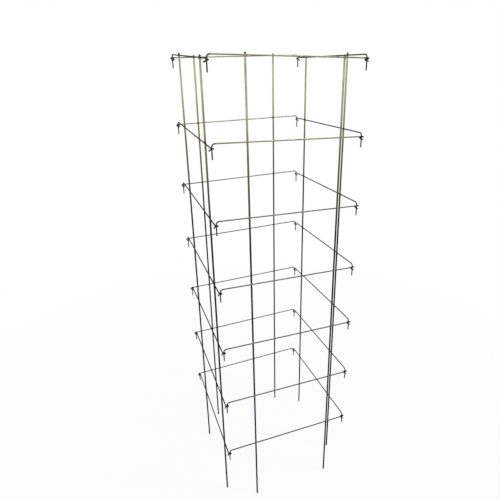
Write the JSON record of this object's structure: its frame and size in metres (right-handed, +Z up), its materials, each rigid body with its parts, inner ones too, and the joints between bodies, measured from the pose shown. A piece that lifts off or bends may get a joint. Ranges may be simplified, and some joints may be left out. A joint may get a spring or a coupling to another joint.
{
  "type": "tomato cage",
  "caption": "Square folding tomato cage: welded galvanised wire panels hook together at the corners with drop pins in pigtail eyes, on long straight legs that push into the soil.",
  "frame": {"origin": "on the ground at the middle of the square between the corner hinge axes", "axes": "+Z up along the legs, -Y towards the front panel, +X towards the right panel"},
  "size_m": [0.447, 0.447, 1.4732],
  "materials": {
    "leg_wire": "dull galvanised drawn wire",
    "rail_wire": "dull galvanised drawn wire"
  },
  "bodies": {
    "front_panel": {"front_panel_left_leg": "leg_wire", "front_panel_right_leg": "leg_wire", "front_panel_rail_1": "rail_wire", "front_panel_rail_2": "rail_wire", "front_panel_rail_3": "rail_wire", "front_panel_rail_4": "rail_wire", "front_panel_rail_5": "rail_wire", "front_panel_rail_6": "rail_wire", "front_panel_rail_7": "rail_wire"},
    "right_panel": {"right_panel_left_leg": "leg_wire", "right_panel_right_leg": "leg_wire", "right_panel_rail_1": "rail_wire", "right_panel_rail_2": "rail_wire", "right_panel_rail_3": "rail_wire", "right_panel_rail_4": "rail_wire", "right_panel_rail_5": "rail_wire", "right_panel_rail_6": "rail_wire", "right_panel_rail_7": "rail_wire"},
    "back_panel": {"back_panel_left_leg": "leg_wire", "back_panel_right_leg": "leg_wire", "back_panel_rail_1": "rail_wire", "back_panel_rail_2": "rail_wire", "back_panel_rail_3": "rail_wire", "back_panel_rail_4": "rail_wire", "back_panel_rail_5": "rail_wire", "back_panel_rail_6": "rail_wire", "back_panel_rail_7": "rail_wire"},
    "left_panel": {"left_panel_left_leg": "leg_wire", "left_panel_right_leg": "leg_wire", "left_panel_rail_1": "rail_wire", "left_panel_rail_2": "rail_wire", "left_panel_rail_3": "rail_wire", "left_panel_rail_4": "rail_wire", "left_panel_rail_5": "rail_wire", "left_panel_rail_6": "rail_wire", "left_panel_rail_7": "rail_wire"}
  },
  "joints": [
    {"name": "right_hinge", "type": "hinge", "parent": "front_panel", "child": "right_panel", "pos_m": [0.215, -0.215, 0], "axis": [0, 0, 1], "range_deg": [-85, 85]},
    {"name": "left_hinge", "type": "hinge", "parent": "front_panel", "child": "left_panel", "pos_m": [-0.215, -0.215, 0], "axis": [0, 0, 1], "range_deg": [-85, 85]},
    {"name": "back_hinge", "type": "hinge", "parent": "right_panel", "child": "back_panel", "pos_m": [0.215, 0.215, 0], "axis": [0, 0, 1], "range_deg": [-85, 85]}
  ],
  "couplings": [
    {"joint": "left_hinge", "follows": "right_hinge", "ratio": 1},
    {"joint": "back_hinge", "follows": "right_hinge", "ratio": -1}
  ]
}
